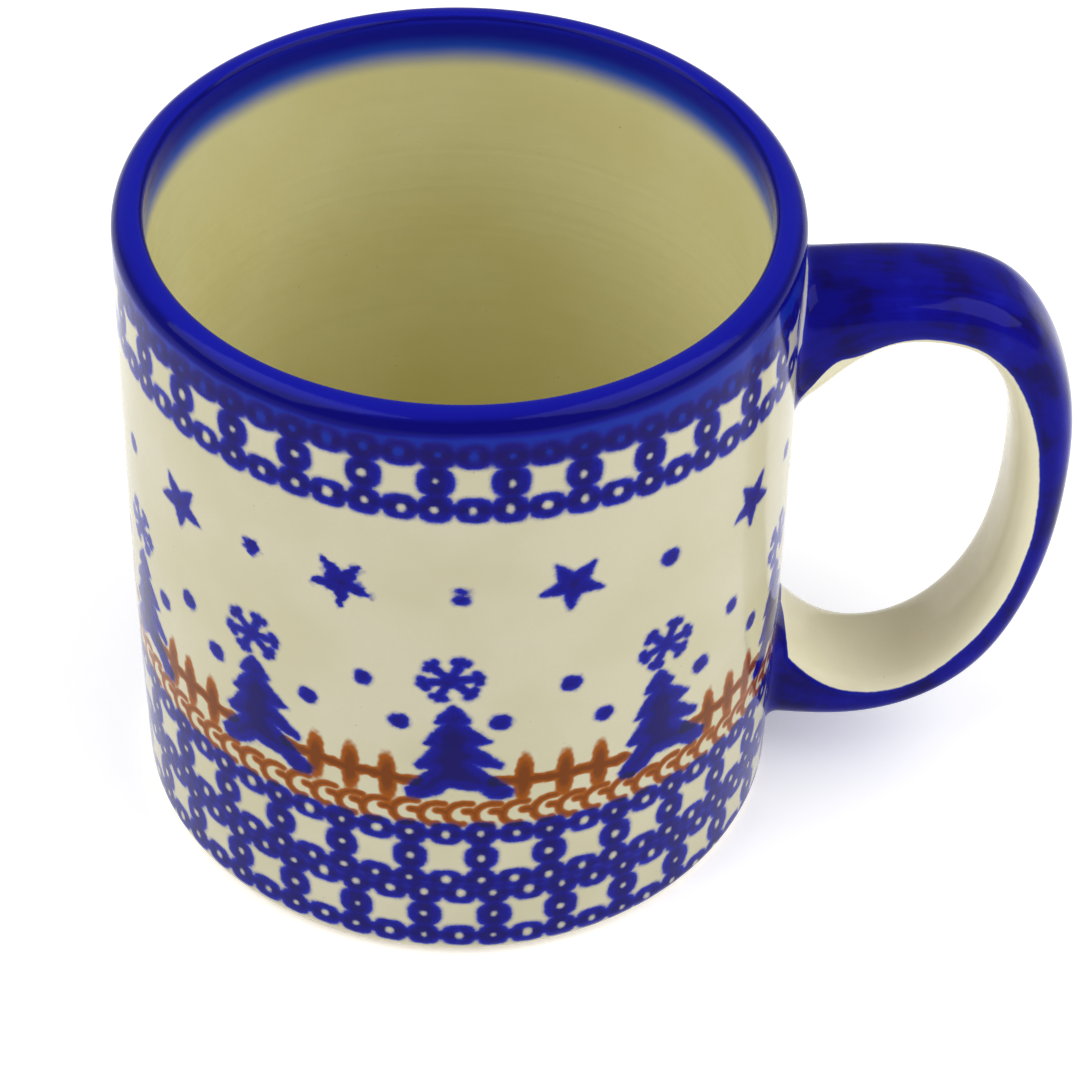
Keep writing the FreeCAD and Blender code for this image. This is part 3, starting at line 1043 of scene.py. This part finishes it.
def floor_paper():
    shader = Shader("floor_paper", specular_ior_level=0.1, emission_strength=0.3)
    shader.surface.inputs["Emission Color"].default_value = (1, 1, 1, 1)
    tone = shader.fade(shader.noise(0.004, 2.0), 0.3, 0.7)
    colour = shader.mix(tone, PAPER, PAPER_SHADE)
    return shader.finish(colour, 0.8, shader.noise(0.6, 2.0), *PAPER_BUMP)


# --- the pieces --------------------------------------------------------------------------
def give(piece, material, slot, *nodes):
    piece.data.materials.clear()
    piece.data.materials.append(material)
    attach(piece, "root")
    if nodes:
        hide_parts(*nodes)


def dress_node(name, material):
    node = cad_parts[name]
    for entry in node.material_slots:
        entry.material = material


def build_mug():
    outside, coat_end = build_outside()
    paint = painted_glaze()
    for piece in outside:
        give(piece, paint, "painted_glaze", "outer_glaze")
    lining = lining_glaze()
    give(build_lining(coat_end), lining, "lining_glaze", "inner_glaze")
    give(build_handle(), strap_glaze(), "cobalt_glaze",
         "handle", "handle_glaze", "upper_luting_slip", "lower_luting_slip")
    dress_node("cup_body", bare_clay())
    dress_node("base_glaze", lining)


# --- floor, lights and camera, in metres -------------------------------------------------
FLOOR_TICKS, FLOOR_HALF = 25, 5.0
# Each lamp's place and power.
LAMPS = {
    "left_softbox": ((-0.72, -0.2, 0.87), 6.6),
    "right_softbox": ((0.72, -0.25, 0.84), 6.8),
}
LAMP_SIZE = 1.0
LAMP_AIM = (0, 0, 0.05)
STUDIO_STRENGTH = 0.5
GAMMA = 0.85
CAMERA_DISTANCE = 0.495
CAMERA_ELEVATION = math.radians(41.44)
CAMERA_ROLL = math.radians(1.49)
LENS, SENSOR = 117.4, 36.0              # millimetres
CLIP_START = 0.01
AIM_ASIDE, AIM_DOWN = 0.01146, -0.00809


def build_floor():
    ticks = np.linspace(-FLOOR_HALF, FLOOR_HALF, FLOOR_TICKS) / MM
    x, y = np.meshgrid(ticks, ticks)
    points = np.stack([x, y, np.zeros_like(x)], axis=-1)
    floor = grid_piece("floor", points, {}, 1, closed=False)
    floor.data.materials.append(floor_paper())


def softbox(name, place, power):
    light = bpy.data.lights.new(name, "AREA")
    light.shape = "RECTANGLE"
    light.size = LAMP_SIZE
    light.size_y = LAMP_SIZE
    light.energy = power
    lamp = bpy.data.objects.new(name, light)
    lamp.location = place
    direction = Vector(LAMP_AIM) - Vector(place)
    lamp.rotation_euler = direction.to_track_quat("-Z", "Y").to_euler()
    bpy.context.scene.collection.objects.link(lamp)


def build_lights():
    for name, (place, power) in LAMPS.items():
        softbox(name, place, power)
    world = bpy.data.worlds.new("studio")
    world.use_nodes = True
    background = world.node_tree.nodes["Background"]
    background.inputs["Color"].default_value = (1, 1, 1, 1)
    background.inputs["Strength"].default_value = STUDIO_STRENGTH
    bpy.context.scene.world = world


def build_camera():
    """Looks down at the cup from its front, aimed a little to the handle's side."""
    back = Vector((0, -math.cos(CAMERA_ELEVATION), math.sin(CAMERA_ELEVATION)))
    side = Vector((1, 0, 0))
    lift = side.cross(-back)
    middle = Vector((0, 0, HEIGHT / 2 * MM))
    place = middle + back * CAMERA_DISTANCE
    forward = (middle + side * AIM_ASIDE + lift * AIM_DOWN - place).normalized()
    right = forward.cross(Vector((0, 0, 1))).normalized()
    up = right.cross(forward)
    cosine, sine = math.cos(CAMERA_ROLL), math.sin(CAMERA_ROLL)
    right, up = right * cosine + up * sine, up * cosine - right * sine
    data = bpy.data.cameras.new("camera")
    data.lens = LENS
    data.sensor_width = SENSOR
    data.clip_start = CLIP_START
    camera = bpy.data.objects.new("camera", data)
    camera.matrix_world = Matrix((
        (right.x, up.x, -forward.x, place.x),
        (right.y, up.y, -forward.y, place.y),
        (right.z, up.z, -forward.z, place.z),
        (0, 0, 0, 1),
    ))
    bpy.context.scene.collection.objects.link(camera)
    bpy.context.scene.camera = camera


build_mug()
build_floor()
build_lights()
build_camera()
bpy.context.scene.view_settings.view_transform = "Standard"
bpy.context.scene.view_settings.gamma = GAMMA
